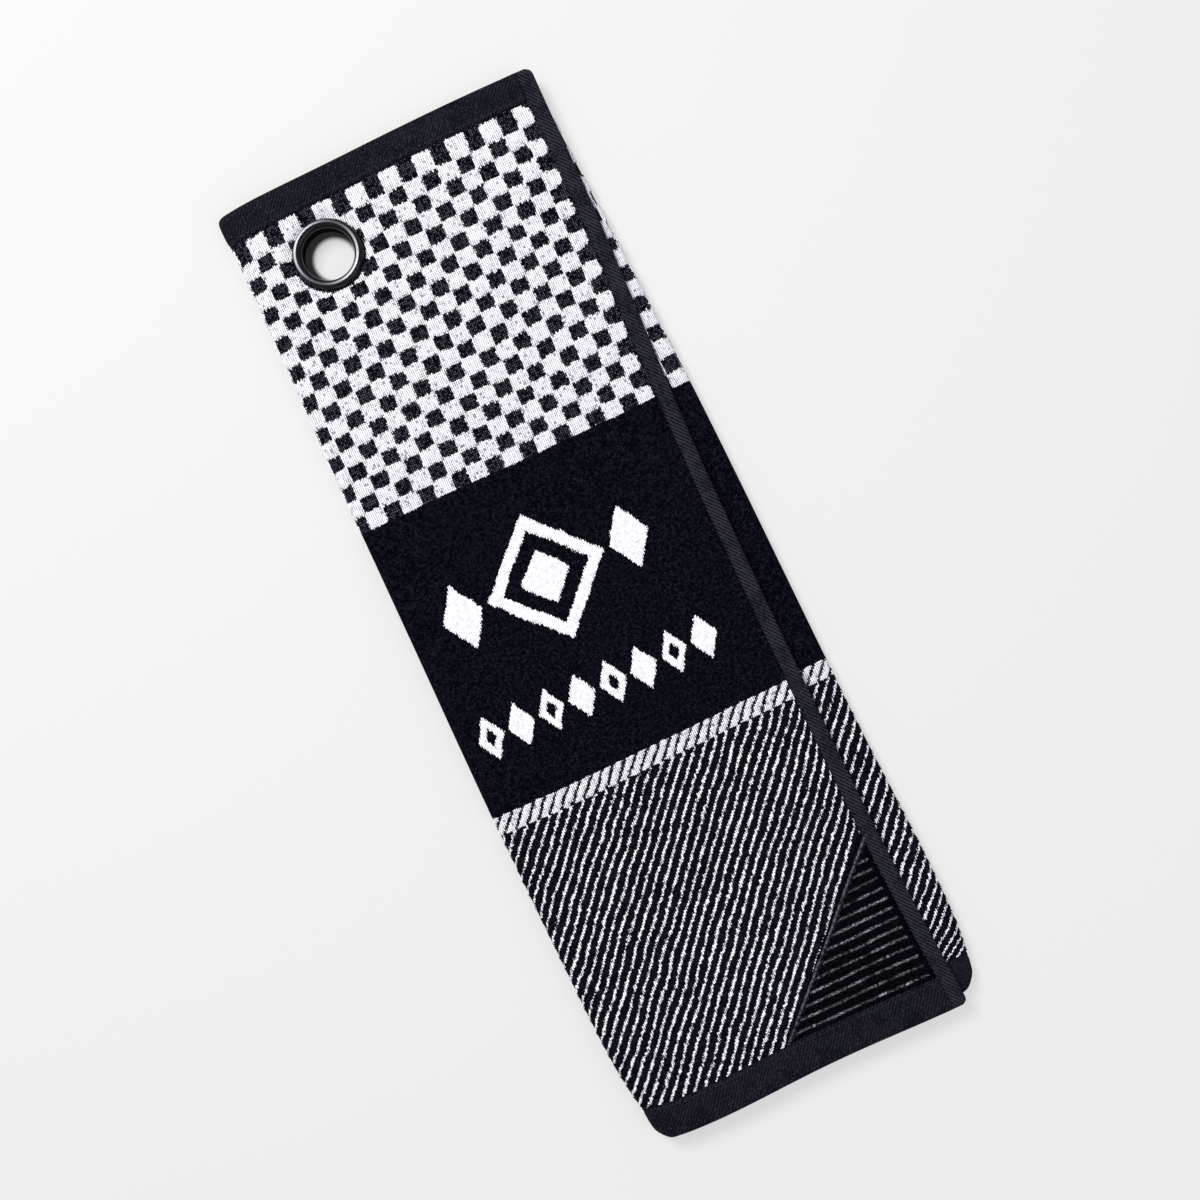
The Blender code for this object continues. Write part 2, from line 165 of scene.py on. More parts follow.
world = bpy.data.worlds.new("studio_air")
world.use_nodes = True
air = world.node_tree.nodes["Background"]
air.inputs["Color"].default_value = (0.98, 0.99, 1.0, 1.0)
air.inputs["Strength"].default_value = AIR_STRENGTH
bpy.context.scene.world = world
bpy.context.scene.view_settings.view_transform = "Standard"
bpy.context.scene.view_settings.look = "None"

eye_height = TOWEL_TOP + VIEW_WIDTH * LENS / SENSOR
bpy.ops.object.camera_add(location=(*EYE_SHIFT, eye_height), rotation=(0.0, 0.0, TURN))
camera = bpy.context.object
camera.name = "overhead_camera"
camera.data.lens = LENS
camera.data.sensor_width = SENSOR
camera.data.clip_start = 0.01
bpy.context.scene.camera = camera

# ----------------------------------------
# Towel cloth: black and off-white cotton, woven in one piece, folded in three
# and lying with small ripples. Checks and thin stripes stand up as loop pile,
# the middle band is shorn to black velour, and the back is the weave's reverse.
TOP_END = cad_box[1][1] / MM
BOTTOM_END = cad_box[0][1] / MM
LEFT_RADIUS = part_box("left_fold_cloth")[1][2] / MM / 2
RIGHT_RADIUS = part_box("right_fold_cloth")[1][2] / MM / 2
TOP_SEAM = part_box("front_top_hem")[0][1] / MM
BOTTOM_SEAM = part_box("front_bottom_hem")[1][1] / MM
GROMMET_X, GROMMET_Y = (spot / MM for spot in hole_spot)
SIDE_HEM = 6.3
SEAM_GAP = 0.25
INNER_EDGE = 9.0
INNER_SEAM = INNER_EDGE + SIDE_HEM + SEAM_GAP
UNDER_STRETCH = 0.978
UNDER_SINK = 0.37
UNDER_CREEP = 3.2
PANEL_LIFT = 0.42
FREE_EDGE_LIFT = 0.5
FOLD_LOW_CORNER, FOLD_TOP_CORNER = 4.5, 1.2
FRONT_CORNERS = (3.0, 3.5)
UNDER_CORNERS = (7.0, 4.0)


def edge_line(nodes, side):
    """Return a smooth x(y) for the outermost edge of some nodes, in millimetres."""
    spots = np.array([v.co[:] for name in nodes for v in bpy.data.objects[name].data.vertices]) / MM
    heights = np.unique(spots[:, 1].round(2))
    outer = [side * (side * spots[abs(spots[:, 1] - y) < 0.02, 0]).max() for y in heights]
    curve = np.polyfit(heights / 200.0, outer, 8)
    return lambda y: np.polyval(curve, y / 200.0)


left_x = edge_line(("left_fold_bottom_hem", "left_fold_cloth", "left_fold_top_hem"), -1)
right_x = edge_line(("right_fold_bottom_hem", "right_fold_cloth", "right_fold_top_hem"), 1)
front_x = edge_line(("front_side_hem",), 1)


def smooth(value, low, high):
    """Rise smoothly from 0 at low to 1 at high."""
    t = np.clip((value - low) / (high - low), 0.0, 1.0)
    return t * t * (3.0 - 2.0 * t)


def soft_noise(a, b, cell, seed):
    """Smooth seeded noise from -1 to 1 on a lattice of the given cell size."""
    lattice = np.random.default_rng(seed).random((64, 64)) * 2.0 - 1.0
    p, q = np.asarray(a) / cell + 900.0, np.asarray(b) / cell + 900.0
    i, j = np.floor(p).astype(int), np.floor(q).astype(int)
    f, g = p - i, q - j
    f, g = f * f * (3 - 2 * f), g * g * (3 - 2 * g)
    i, j, k, m = i % 64, j % 64, (i + 1) % 64, (j + 1) % 64
    low = lattice[i, j] * (1 - f) + lattice[k, j] * f
    high = lattice[i, m] * (1 - f) + lattice[k, m] * f
    return low * (1 - g) + high * g


def from_grommet(x, y):
    """Distance from the grommet's axis."""
    return np.hypot(x - GROMMET_X, y - GROMMET_Y)


def ripple(x, y):
    """Height that the front panel lifts off the layers under it."""
    lift = PANEL_LIFT * (1.0 + 0.75 * soft_noise(x, y, 46.0, 3) + 0.25 * soft_noise(x, y, 19.0, 4))
    lift = lift + FREE_EDGE_LIFT * smooth(x, 35.0, 62.0) * smooth(-abs(y + 30.0), -120.0, -10.0)
    calm = smooth(from_grommet(x, y), 15.0, 45.0) * smooth(x, -70.0, -52.0)
    return lift * calm


def draw_in(x, y):
    """Shift of the cloth along its length, strongest at the ends."""
    top = -2.7 * np.exp(-(x + 71.0) / 16.0) - 0.35 + 0.3 * np.sin(x / 17.0)
    bottom = 2.6 * np.exp(-(x + 68.0) / 15.0) + 0.5 + 0.7 * np.sin(x / 19.0 + 1.2)
    waver = 0.7 * soft_noise(x, y, 38.0, 7)
    ends = top * smooth(y, 120.0, 200.0) + bottom * smooth(-y, 150.0, 200.0)
    return ends + waver * smooth(-abs(y), -170.0, -90.0)


def round_corner(x, y, corner_x, end_y, side, radius):
    """Draw a square corner of the outline in to a round one."""
    a = np.clip(1.0 - side * (corner_x - x) / radius, 0.0, 1.0)
    b = np.clip(1.0 - math.copysign(1.0, end_y) * (end_y - y) / radius, 0.0, 1.0)
    near_x = radius * a * (1.0 - np.sqrt(1.0 - b * b / 2.0))
    near_y = radius * b * (1.0 - np.sqrt(1.0 - a * a / 2.0))
    return -side * near_x, -math.copysign(1.0, end_y) * near_y


def joined(y, *parts):
    """Join the stretches of a path, each spread over every row."""
    return np.hstack([part + 0 * y for part in parts])


def front_path(y, straight, turned, right_gap):
    """Base points of the front panel from the left fold's edge to right_gap short of the free edge."""
    start, end = left_x(y) + LEFT_RADIUS, front_x(y) - right_gap
    angle = np.linspace(0.0, math.pi / 2, turned + 1)[None, :-1]
    along = np.linspace(0.0, 1.0, straight + 1)[None, :]
    x = joined(y, start - LEFT_RADIUS * np.cos(angle), start + (end - start) * along)
    z = joined(y, LEFT_RADIUS * (1 + np.sin(angle)), 2 * LEFT_RADIUS + 0 * along)
    nx = joined(y, -np.cos(angle), 0 * along)
    nz = joined(y, np.sin(angle), 1 + 0 * along)
    turn = joined(y, LEFT_RADIUS * (math.pi / 2 - angle), 0 * along)
    u = front_x(y) - np.maximum(x, start) + turn
    return {"x": x, "z": z, "nx": nx, "nz": nz, "u": u, "sink": 0 * x, "front": 1.0}


def lower_path(y, inner, turned, outer, quarter, left_gap):
    """Base points from the inner panel's free edge round the right fold and under the towel."""
    left, right = left_x(y) + LEFT_RADIUS, right_x(y) - RIGHT_RADIUS
    start = left_x(y) + left_gap
    over = np.linspace(0.0, 1.0, inner + 1)[None, :-1]
    angle = np.linspace(math.pi / 2, -math.pi / 2, turned + 1)[None, :-1]
    under = np.linspace(0.0, 1.0, outer + 1)[None, :-1]
    rise = np.linspace(0.0, math.pi / 2, quarter + 1)[None, :]
    x = joined(
        y,
        start + (right - start) * over,
        right + RIGHT_RADIUS * np.cos(angle),
        right + (left - right) * under,
        left - LEFT_RADIUS * np.sin(rise),
    )
    round_z, rise_z = RIGHT_RADIUS * (1 + np.sin(angle)), LEFT_RADIUS * (1 - np.cos(rise))
    z = joined(y, 2 * RIGHT_RADIUS + 0 * over, round_z, 0 * under, rise_z)
    nx = joined(y, 0 * over, np.cos(angle), 0 * under, -np.sin(rise))
    nz = joined(y, 1 + 0 * over, np.sin(angle), -1 + 0 * under, -np.cos(rise))
    round_sink = UNDER_SINK * (1 - np.sin(angle)) / 2
    sink = joined(y, 0 * over, round_sink, UNDER_SINK + 0 * under, UNDER_SINK * np.cos(rise))
    step = np.hypot(np.diff(x, axis=1), np.diff(z, axis=1))
    passed = np.hstack([0 * y, np.cumsum(step, axis=1)])
    apex = front_x(y) - left + LEFT_RADIUS * math.pi / 2
    travelled = (passed[:, -1:] - passed) * UNDER_STRETCH
    return {"x": x, "z": z, "nx": nx, "nz": nz, "u": apex + travelled, "sink": sink, "front": 0.0}


def lay_out(path, y, offset):
    """Place points at an offset from the base line, and let the cloth ripple and draw in."""
    x = path["x"] + path["nx"] * offset
    z = path["z"] + path["nz"] * offset
    lift = ripple(x, y) * path["front"] * np.clip(path["nz"], 0.0, 1.0)
    creep = UNDER_CREEP * np.clip(-y / 203.0, 0.0, 1.0) * (1.0 - path["front"]) * smooth(x, -60.0, 20.0)
    right_edge = front_x(y) if path["front"] > 0.5 else right_x(y)
    low_radius, top_radius = FRONT_CORNERS if path["front"] > 0.5 else UNDER_CORNERS
    moves = [
        round_corner(x, y, left_x(y), BOTTOM_END, -1, FOLD_LOW_CORNER),
        round_corner(x, y, left_x(y), TOP_END, -1, FOLD_TOP_CORNER),
        round_corner(x, y, right_edge, BOTTOM_END, 1, low_radius),
        round_corner(x, y, right_edge, TOP_END, 1, top_radius),
    ]
    across, along = (sum(move[i] for move in moves) for i in (0, 1))
    flare = 1.6 * smooth(-y, 188.0, 201.0) + 1.0 * smooth(y, 184.0, 200.0)
    across = across - flare * smooth(-x, 40.0, 66.0)
    return np.stack([x + across, y + along + draw_in(x, y) + creep, z + lift], axis=-1)


LOOP_WIDTH = 0.81
LOOP_HEIGHT = 0.94
CHECK_LOW = 63.8
FIRST_ROW_LOW = 181.5
CHECK_ROW = 6.54
CHECK_PITCH = 14.5
CHECK_START = 10.0
BLACK_WIDTH = 6.6
BLACK_HEIGHT = 6.0
SLASH_HIGH = -59.2
SLASH_LOW = -65.8
STRIPE_PITCH = 4.855
STRIPE_RISE = 1.11
STRIPE_WIDTH = 0.84
SLASH_GAP = 1.15
PATCH_LEG = 64.0
GROUND = -0.3
PILE = 0.66
REVERSE = -2.15
HOLE_RADIUS = 12.1
# Painted shade: the white pile is taken out in a ring just outside the grommet's flange.
FLANGE_SHADE_INNER, FLANGE_SHADE_OUTER = 14.3, 15.0
MARK_SOFTNESS = 1.1


def per_loop(a, b, seed):
    """Seeded random value from -1 to 1 for each whole step of a and b."""
    table = np.random.default_rng(seed).random((256, 256)) * 2.0 - 1.0
    return table[np.floor(a).astype(int) % 256, np.floor(b).astype(int) % 256]


def row_middle(row):
    """Middle height of a row of checks, counted down from the top row."""
    return np.where(row < 0.5, FIRST_ROW_LOW + CHECK_ROW / 2, FIRST_ROW_LOW - CHECK_ROW * (row - 0.5))


def check_mark(u, v):
    """Signed distance into a white check, in millimetres."""
    row = np.where(v > FIRST_ROW_LOW, 0.0, np.floor((FIRST_ROW_LOW - v) / CHECK_ROW) + 1.0)
    comb = 0.34 * per_loop(u / LOOP_WIDTH, 2.0 * v / CHECK_ROW + 300.0, 21)
    step = 0.22 * per_loop(2.0 * u / CHECK_PITCH, v / LOOP_HEIGHT + 300.0, 22)
    white = np.full(np.shape(row), 9.0)
    for other in (-1.0, 0.0, 1.0):
        line = np.maximum(row + other, 0.0)
        middle = row_middle(line)
        half_height = BLACK_HEIGHT / 2 + np.where((line < 0.5) & (v > middle), 9.0, 0.0)
        shift = CHECK_START + CHECK_PITCH / 2 * (1.0 + line % 2.0)
        away = abs((u + step - shift + CHECK_PITCH / 2) % CHECK_PITCH - CHECK_PITCH / 2)
        size = ((away / (BLACK_WIDTH / 2)) ** 18 + (abs(v + comb - middle) / half_height) ** 18) ** (1 / 18)
        white = np.minimum(white, (size - 1.0) * 3.0)
    rounding = 1.3 * np.clip(abs(v - row_middle(row)) / 3.6, 0.0, 1.2) ** 4
    side_gap = u - SIDE_HEM - 0.8 - rounding + step * 1.5 + np.where(row % 2.0 > 0.5, -2.5, 0.0)
    return np.minimum(np.minimum(white, side_gap), TOP_SEAM - 0.9 - v + comb)


def stripe_mark(u, v):
    """Signed distance into a thin diagonal stripe, in millimetres."""
    phase = (-u - v / STRIPE_RISE) / STRIPE_PITCH + 0.42
    off = abs((phase % 1.0) - 0.5) * STRIPE_PITCH * math.sin(math.atan(STRIPE_RISE))
    return STRIPE_WIDTH / 2 - off


def diamond(u, v, centre_u, centre_v, half_width, half_height):
    """Size of the diamond through a point, with 1 at the outline."""
    return abs(u - centre_u) / half_width + abs(v - centre_v) / half_height


def motif_mark(u, v):
    """Signed distance into the plain woven diamonds of the velour band."""
    centre_u, centre_v = 74.5, 19.0
    big = diamond(u, v, centre_u, centre_v, 25.0, 26.0)
    mark = np.minimum((1.0 - big) * 17.5, (big - 0.74) * 17.5)
    mark = np.maximum(mark, (0.42 - big) * 17.5)
    for side in (-1, 1):
        small = diamond(u, v, centre_u + side * 36.0, centre_v, 8.5, 13.5)
        mark = np.maximum(mark, (1.0 - small) * 7.2)
    for place in range(8):
        bead = diamond(u, v, centre_u + (place - 3.5) * 13.2, -29.3, 5.6, 9.3)
        hollow = np.where(place % 2 > 0, (bead - 0.42) * 4.8, 9.0)
        mark = np.maximum(mark, np.minimum((1.0 - bead) * 4.8, hollow))
    return mark


def weave(u, v):
    """White share, velour share and pile height of the cloth's face."""
    drift_u, drift_v = soft_noise(u, v, 9.0, 11), soft_noise(u, v, 12.0, 13)
    jitter_u, jitter_v = soft_noise(u, v, 2.3, 12), soft_noise(u, v, 2.9, 14)
    loose_u = u + 0.45 * drift_u + 0.22 * jitter_u
    loose_v = v + 0.5 * drift_v + 0.22 * jitter_v
    hook = 1.6 * np.exp(-np.clip(u - SIDE_HEM, 0.0, 9.0) / 0.9)
    stepped_u = np.round(loose_u / LOOP_WIDTH) * LOOP_WIDTH * 0.6 + loose_u * 0.4
    stepped_v = np.round(loose_v / LOOP_HEIGHT) * LOOP_HEIGHT * 0.6 + loose_v * 0.4
    checks = check_mark(u + 0.4 * drift_u + 0.08 * jitter_u, v + 0.45 * drift_v + 0.08 * jitter_v)
    stripes = stripe_mark(loose_u, loose_v - hook)
    stripes = stripes + 0.13 * per_loop(u / LOOP_WIDTH, v / LOOP_HEIGHT + 300.0, 23)
    slashes = -stripe_mark(loose_u, loose_v) - (SLASH_GAP - STRIPE_WIDTH) / 2
    motif = motif_mark(stepped_u, stepped_v)
    mark = np.select(
        [v > CHECK_LOW, v > SLASH_HIGH, v > SLASH_LOW], [checks, motif, slashes], default=stripes
    )
    in_band = (v <= CHECK_LOW) & (v > SLASH_HIGH)
    in_stripes = v <= SLASH_LOW
    white = np.clip(0.5 + mark / MARK_SOFTNESS, 0.0, 1.0)
    velour = np.where(in_band, 1.0, np.where(in_stripes, 0.55, 0.0))
    body = np.where(in_band, 0.62, np.where(in_stripes, 0.3, 0.0))
    return white, velour, body


def patch_share(u, v):
    """1 where the scrub patch covers the face, 0 elsewhere."""
    rise = v - BOTTOM_SEAM
    return smooth(PATCH_LEG + 0.6 - (u - SIDE_HEM - SEAM_GAP) - rise, 0.0, 0.8)


def cloth_mesh(name, face, back, block, marks, weave_uv, keep=None):
    """Build one closed stretch of cloth from its face and back points, in millimetres.

    face and back hold rows along the towel and columns across it. The back uses
    every block-th column. marks are point values for the face and the back.
    """
    rows, columns = face.shape[:2]
    blocks = (columns - 1) // block
    if keep is None:
        keep = np.ones((rows - 1, blocks), bool)
    face_id = np.arange(rows * columns).reshape(rows, columns)
    back_id = face_id + rows * columns
    fine = np.repeat(keep, block, axis=1)
    quads = np.stack([face_id[:-1, :-1], face_id[:-1, 1:], face_id[1:, 1:], face_id[1:, :-1]], axis=-1)
    faces = quads[fine].tolist()
    padded = np.pad(keep, 1)
    open_low, open_high = ~padded[:-2, 1:-1] & keep, ~padded[2:, 1:-1] & keep
    open_left, open_right = ~padded[1:-1, :-2] & keep, ~padded[1:-1, 2:] & keep
    coarse = back_id[:, ::block]
    plain = keep & ~open_low & ~open_high
    under = np.stack([coarse[:-1, :-1], coarse[1:, :-1], coarse[1:, 1:], coarse[:-1, 1:]], axis=-1)
    faces += under[plain].tolist()
    for r, b in np.argwhere(open_low | open_high):
        low, high = b * block, (b + 1) * block
        ring = [back_id[r, low], back_id[r + 1, low]]
        if open_high[r, b]:
            ring += list(back_id[r + 1, low + 1 : high])
        ring += [back_id[r + 1, high], back_id[r, high]]
        if open_low[r, b]:
            ring += list(back_id[r, low + 1 : high][::-1])
        faces.append(ring)
    walls = []

    def add_wall(start, end):
        """Join the face to the back between two neighbouring points."""
        walls.append([face_id[start], face_id[end], back_id[end], back_id[start]])

    for r, b in np.argwhere(open_low):
        for c in range(b * block, (b + 1) * block):
            add_wall((r, c + 1), (r, c))
    for r, b in np.argwhere(open_high):
        for c in range(b * block, (b + 1) * block):
            add_wall((r + 1, c), (r + 1, c + 1))
    for r, b in np.argwhere(open_left):
        add_wall((r, b * block), (r + 1, b * block))
    for r, b in np.argwhere(open_right):
        add_wall((r + 1, (b + 1) * block), (r, (b + 1) * block))
    first_wall = len(faces)
    faces += walls
    flat = np.concatenate([np.asarray(f) for f in faces])
    used, renumbered = np.unique(flat, return_inverse=True)
    sizes = np.array([len(f) for f in faces])
    points = np.concatenate([face.reshape(-1, 3), back.reshape(-1, 3)])[used] * MM
    mesh = bpy.data.meshes.new(name)
    polygons = [part.tolist() for part in np.split(renumbered, np.cumsum(sizes)[:-1])]
    mesh.from_pydata(points.tolist(), [], polygons)
    for mark, (on_face, on_back) in marks.items():
        layer = mesh.attributes.new(mark, "FLOAT", "POINT")
        both = np.concatenate([on_face.ravel(), on_back.ravel()])[used]
        layer.data.foreach_set("value", both.astype(np.float32))
    corner = np.empty(len(mesh.loops), int)
    mesh.loops.foreach_get("vertex_index", corner)
    original = used[corner]
    spot = original % (rows * columns)
    across, along = spot % columns, spot // columns
    layer = mesh.uv_layers.new(name="weave")
    loops = np.stack([weave_uv[0].ravel()[spot], weave_uv[1].ravel()[spot]], axis=-1)
    layer.data.foreach_set("uv", loops.astype(np.float32).ravel())
    behind = original >= rows * columns
    in_wall = np.repeat(np.arange(len(faces)) >= first_wall, sizes)
    place = np.stack([0.01 + 0.98 * across / (columns - 1), 0.01 + 0.6 * along / (rows - 1)], axis=-1)
    place[behind, 1] = 0.65 + 0.34 * along[behind] / (rows - 1)
    tucked = behind & in_wall
    place[tucked, 0] = 0.004 + 0.992 * across[tucked] / (columns - 1)
    place[tucked, 1] = 0.004 + 0.612 * along[tucked] / (rows - 1)
    layer = mesh.uv_layers.new(name="OFBake")
    layer.data.foreach_set("uv", place.astype(np.float32).ravel())
    edge_ends = np.empty(len(mesh.edges) * 2, int)
    mesh.edges.foreach_get("vertices", edge_ends)
    on_rim = np.zeros(len(points), bool)
    on_rim[np.unique(renumbered[in_wall])] = True
    is_back = used >= rows * columns
    ends = edge_ends.reshape(-1, 2)
    rim_edge = on_rim[ends].all(axis=1) & (is_back[ends[:, 0]] == is_back[ends[:, 1]])
    sharp = mesh.attributes.new("sharp_edge", "BOOLEAN", "EDGE")
    sharp.data.foreach_set("value", rim_edge)
    mesh.shade_smooth()
    cloth = bpy.data.objects.new(name, mesh)
    bpy.context.collection.objects.link(cloth)
    return cloth


def rows_between(low, high, pitch):
    """Row heights from low to high, as a column."""
    return np.linspace(low, high, round((high - low) / pitch) + 1)[:, None]


def pile_points(path, y, columns_per_loop, seed):
    """Face and back points of a stretch of patterned cloth, with its marks."""
    u = path["u"]
    white, velour, body = weave(u, y + 0 * u)
    reverse = np.where(velour > 0.9, 0.0, 1.0 - white)
    # Painted shade: the cloth shows black in a ring just outside the grommet's flange.
    clear_of_flange_shade = smooth(from_grommet(path["x"], y), FLANGE_SHADE_INNER, FLANGE_SHADE_OUTER)
    white = white * np.where(abs(path["nz"]) > 0.9, clear_of_flange_shade, 1.0)
    covered = patch_share(u, y + 0 * u)
    white = white * (1.0 - covered)
    pressed = smooth(-from_grommet(path["x"], y), -19.0, -14.5) * np.clip(abs(path["nz"]) * 2 - 1, 0, 1)
    rng = np.random.default_rng(seed)
    column = np.arange(u.shape[1])[None, :]
    ridge = 0.09 * ((column % columns_per_loop == 0) * 2.0 - 1.0) if columns_per_loop > 1 else 0.0
    stand = smooth(white, 0.25, 0.75)
    tuft = 0.1 * (rng.random(u.shape) - 0.5)
    tuft[[0, -1]] = 0.0
    height = PILE * np.maximum(stand, body) + (ridge + tuft) * np.maximum(stand, 0.35)
    height = height * (1.0 - 0.75 * pressed) * (1.0 - covered)
    sunk = np.where(path["nz"] < 0, 1.15, 0.75) * pressed + 0.85 * covered
    offset = GROUND - path["sink"] + height - sunk
    offset = np.minimum(offset, np.where(path["nz"] < -0.5, -0.02, 9.0))
    face = lay_out(path, y, offset)
    back = lay_out(path, y, REVERSE - path["sink"] * 0.6 + 0.05 * (rng.random(u.shape) - 0.5))
    marks = {"white": (white, reverse), "velour": (velour, 0 * velour)}
    column_loops = column / columns_per_loop + 0 * y
    row_loops = np.arange(len(y))[:, None] + 0 * u
    return face, back, marks, (column_loops + 0.5, row_loops + 0.5)


def hole_blocks(face, block):
    """Say which blocks of a stretch lie outside the grommet's hole."""
    x = (face[:-1, :-1:block, 0] + face[1:, block::block, 0]) / 2
    y = (face[:-1, :-1:block, 1] + face[1:, block::block, 1]) / 2
    return from_grommet(x, y) > HOLE_RADIUS


def blank_material(name, roughness, specular):
    """Make a Principled material and return it with its tree, its shader and the piece's own place."""
    material = bpy.data.materials.new(name)
    material.use_nodes = True
    tree = material.node_tree
    shader = tree.nodes["Principled BSDF"]
    shader.inputs["Roughness"].default_value = roughness
    shader.inputs["Specular IOR Level"].default_value = specular
    return material, tree, shader, add_node(tree, "ShaderNodeTexCoord").outputs["Object"]


def plus(a, b):
    """Add two values."""
    return maths("ADD", a, b)


def minus(a, b):
    """Take the second value from the first."""
    return maths("SUBTRACT", a, b)


def blend_colour(share, first, second):
    """Mix two colours and return the result."""
    mixer = add_node(share.id_data, "ShaderNodeMix", {"Factor": share}, data_type="RGBA")
    for socket, colour in ((mixer.inputs[6], first), (mixer.inputs[7], second)):
        if isinstance(colour, bpy.types.NodeSocket):
            share.id_data.links.new(colour, socket)
        else:
            socket.default_value = (*colour, 1.0)
    return mixer.outputs[2]


def fine_noise(place, scale, detail=2.0, output="Fac"):
    """Return the grey of a noise texture, or its colour."""
    inputs = {"Vector": place, "Scale": scale, "Detail": detail}
    return add_node(place.id_data, "ShaderNodeTexNoise", inputs).outputs[output]


def point_mark(tree, name):
    """Read one of the marks that the mesh carries on its points."""
    return add_node(tree, "ShaderNodeAttribute", attribute_name=name).outputs["Fac"]


def split_weave(tree, wander=(0.0, 0.0, 0.0)):
    """Return the coordinates across and along the weave, moved a little where wander says."""
    place = add_node(tree, "ShaderNodeUVMap", uv_map="weave").outputs["UV"]
    return add_node(tree, "ShaderNodeSeparateXYZ", {0: vectors("ADD", place, wander)}).outputs


def finish_surface(shader, colour, height, strength, distance):
    """Link a colour and a bump of this height to the shader."""
    tree = shader.id_data
    tree.links.new(colour, shader.inputs["Base Color"])
    bump = add_node(tree, "ShaderNodeBump", {"Height": height, "Strength": strength, "Distance": distance})
    tree.links.new(bump.outputs["Normal"], shader.inputs["Normal"])


pile_material, tree, shader, place = blank_material("jacquard_pile_cotton", 0.95, 0.02)
white_mark = point_mark(tree, "white")
velour_mark = point_mark(tree, "velour")
wander = vectors("SUBTRACT", fine_noise(place, 420.0, 1.0, "Color"), (0.5, 0.5, 0.5))
loop_count = split_weave(tree, vectors("MULTIPLY", wander, (0.7, 0.7, 0.7)))
loop_x = maths("FRACT", loop_count["X"])
loop_y = maths("FRACT", loop_count["Y"])
cell_x = maths("FLOOR", loop_count["X"])
cell_y = maths("FLOOR", loop_count["Y"])
cell = add_node(tree, "ShaderNodeCombineXYZ", {"X": cell_x, "Y": cell_y})
chance = add_node(tree, "ShaderNodeTexWhiteNoise", {"Vector": cell.outputs[0]}, noise_dimensions="2D")
chance_value = chance.outputs["Value"]
chance_split = add_node(tree, "ShaderNodeSeparateColor", {0: chance.outputs["Color"]})


def arch(value):
    """Turn 0..1 across a loop into a rounded rise and fall."""
    centred = minus(times(value, 2.0), 1.0)
    return minus(1.0, times(centred, centred))


column_arch = arch(loop_x)
row_arch = arch(loop_y)
loop_shape = times(column_arch, plus(0.45, times(row_arch, 0.55)))
fibre = fine_noise(place, 2600.0, 3.0)
fluff = fine_noise(place, 1100.0)
ragged = plus(white_mark, times(minus(chance_value, 0.5), 0.46))
ragged = plus(ragged, times(minus(fibre, 0.5), 0.45))
ragged = plus(ragged, times(minus(loop_shape, 0.66), 0.5))
white_share = ramp(ragged, 0.44, 0.56)
loop_grey = ramp(chance_value, 0.0, 1.0, 0.82, 1.04, "LINEAR")
loop_blue = times(loop_grey, 1.05)
loop_tint = add_node(tree, "ShaderNodeCombineColor", {0: loop_grey, 1: loop_grey, 2: loop_blue})
# Painted shade: the gaps between the white loops are darker than the loop tops, less so in the velour and
# stripe bands.
upright = ramp(velour_mark, 0.0, 0.5, 0.0, 0.78, "LINEAR")
between_loops = maths("MAXIMUM", ramp(loop_shape, 0.08, 0.74), upright)
pile_light = blend_colour(between_loops, (0.31, 0.31, 0.36), loop_tint.outputs[0])
pile_light = blend_colour(ramp(fluff, 0.35, 0.75, 0.0, 0.2), pile_light, (0.5, 0.5, 0.56))
pit = ramp(chance_split.outputs[1], 0.76, 0.92)
pit = times(pit, minus(1.0, ramp(loop_shape, 0.2, 0.85)))
pit = times(pit, minus(1.0, upright))
pile_light = blend_colour(pit, pile_light, (0.07, 0.07, 0.1))
dropped = ramp(chance_split.outputs[0], 0.955, 0.97)
dropped = times(dropped, ramp(column_arch, 0.25, 0.8))
dropped = times(dropped, minus(0.85, upright))
pile_light = blend_colour(dropped, pile_light, (0.1, 0.1, 0.14))
# Painted highlight: the tops of the black loops are lighter, in a fine grid.
black_loop_highlight = times(ramp(column_arch, 0.55, 1.0), ramp(row_arch, 0.35, 0.95))
black_loop_highlight = times(black_loop_highlight, ramp(chance_split.outputs[2], 0.1, 0.9))
black_ground = blend_colour(black_loop_highlight, (0.0018, 0.0018, 0.0044), (0.094, 0.094, 0.114))
mottle = fine_noise(place, 760.0, 3.0)
nap = times(ramp(fibre, 0.42, 0.7), ramp(mottle, 0.34, 0.66))
black_nap = blend_colour(nap, (0.0006, 0.0006, 0.0026), (0.019, 0.019, 0.031))
shorn_share = ramp(velour_mark, 0.0, 0.6, 0.0, 1.0, "LINEAR")
black_side = blend_colour(shorn_share, black_ground, black_nap)
cloth_colour = blend_colour(white_share, black_side, pile_light)
loop_bump = times(loop_shape, plus(0.35, times(white_share, 0.65)))
bump_height = plus(loop_bump, times(fibre, 0.55))
finish_surface(shader, cloth_colour, bump_height, 0.55, 0.00028)

